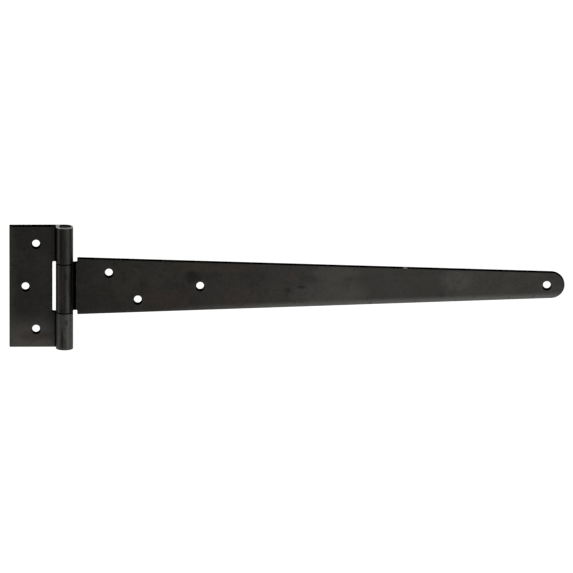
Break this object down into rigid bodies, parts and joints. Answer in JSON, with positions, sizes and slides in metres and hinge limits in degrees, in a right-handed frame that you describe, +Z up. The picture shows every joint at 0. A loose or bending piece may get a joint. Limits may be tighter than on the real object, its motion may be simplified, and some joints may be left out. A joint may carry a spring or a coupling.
{
  "type": "tee hinge",
  "caption": "Surface-mounted steel tee hinge: a rectangular leaf and a long tapered strap with a rounded tip, rolled knuckles on a captive pin, and plain round screw holes.",
  "frame": {"origin": "the middle of the fixed leaf's back face, on the plane that both plates are screwed down on, level with the middle of the pin", "axes": "+X along the strap from the leaf to the tip, +Y into the wall or door behind the hinge (-Y is the side that shows, where the barrel stands proud), +Z up along the pin"},
  "size_m": [0.4995, 0.0157, 0.113],
  "materials": {
    "black_paint": "satin black paint over pressed steel sheet",
    "pin_steel": "blackened round steel wire, cut and chamfered"
  },
  "bodies": {
    "frame_side": {"frame_leaf": "black_paint", "hinge_pin": "pin_steel"},
    "door_side": {"strap": "black_paint"}
  },
  "joints": [
    {"name": "strap_swing", "type": "hinge", "parent": "frame_side", "child": "door_side", "pos_m": [0.02475, -0.00785, 0], "axis": [0, 0, -1], "range_deg": [-90, 180]}
  ]
}
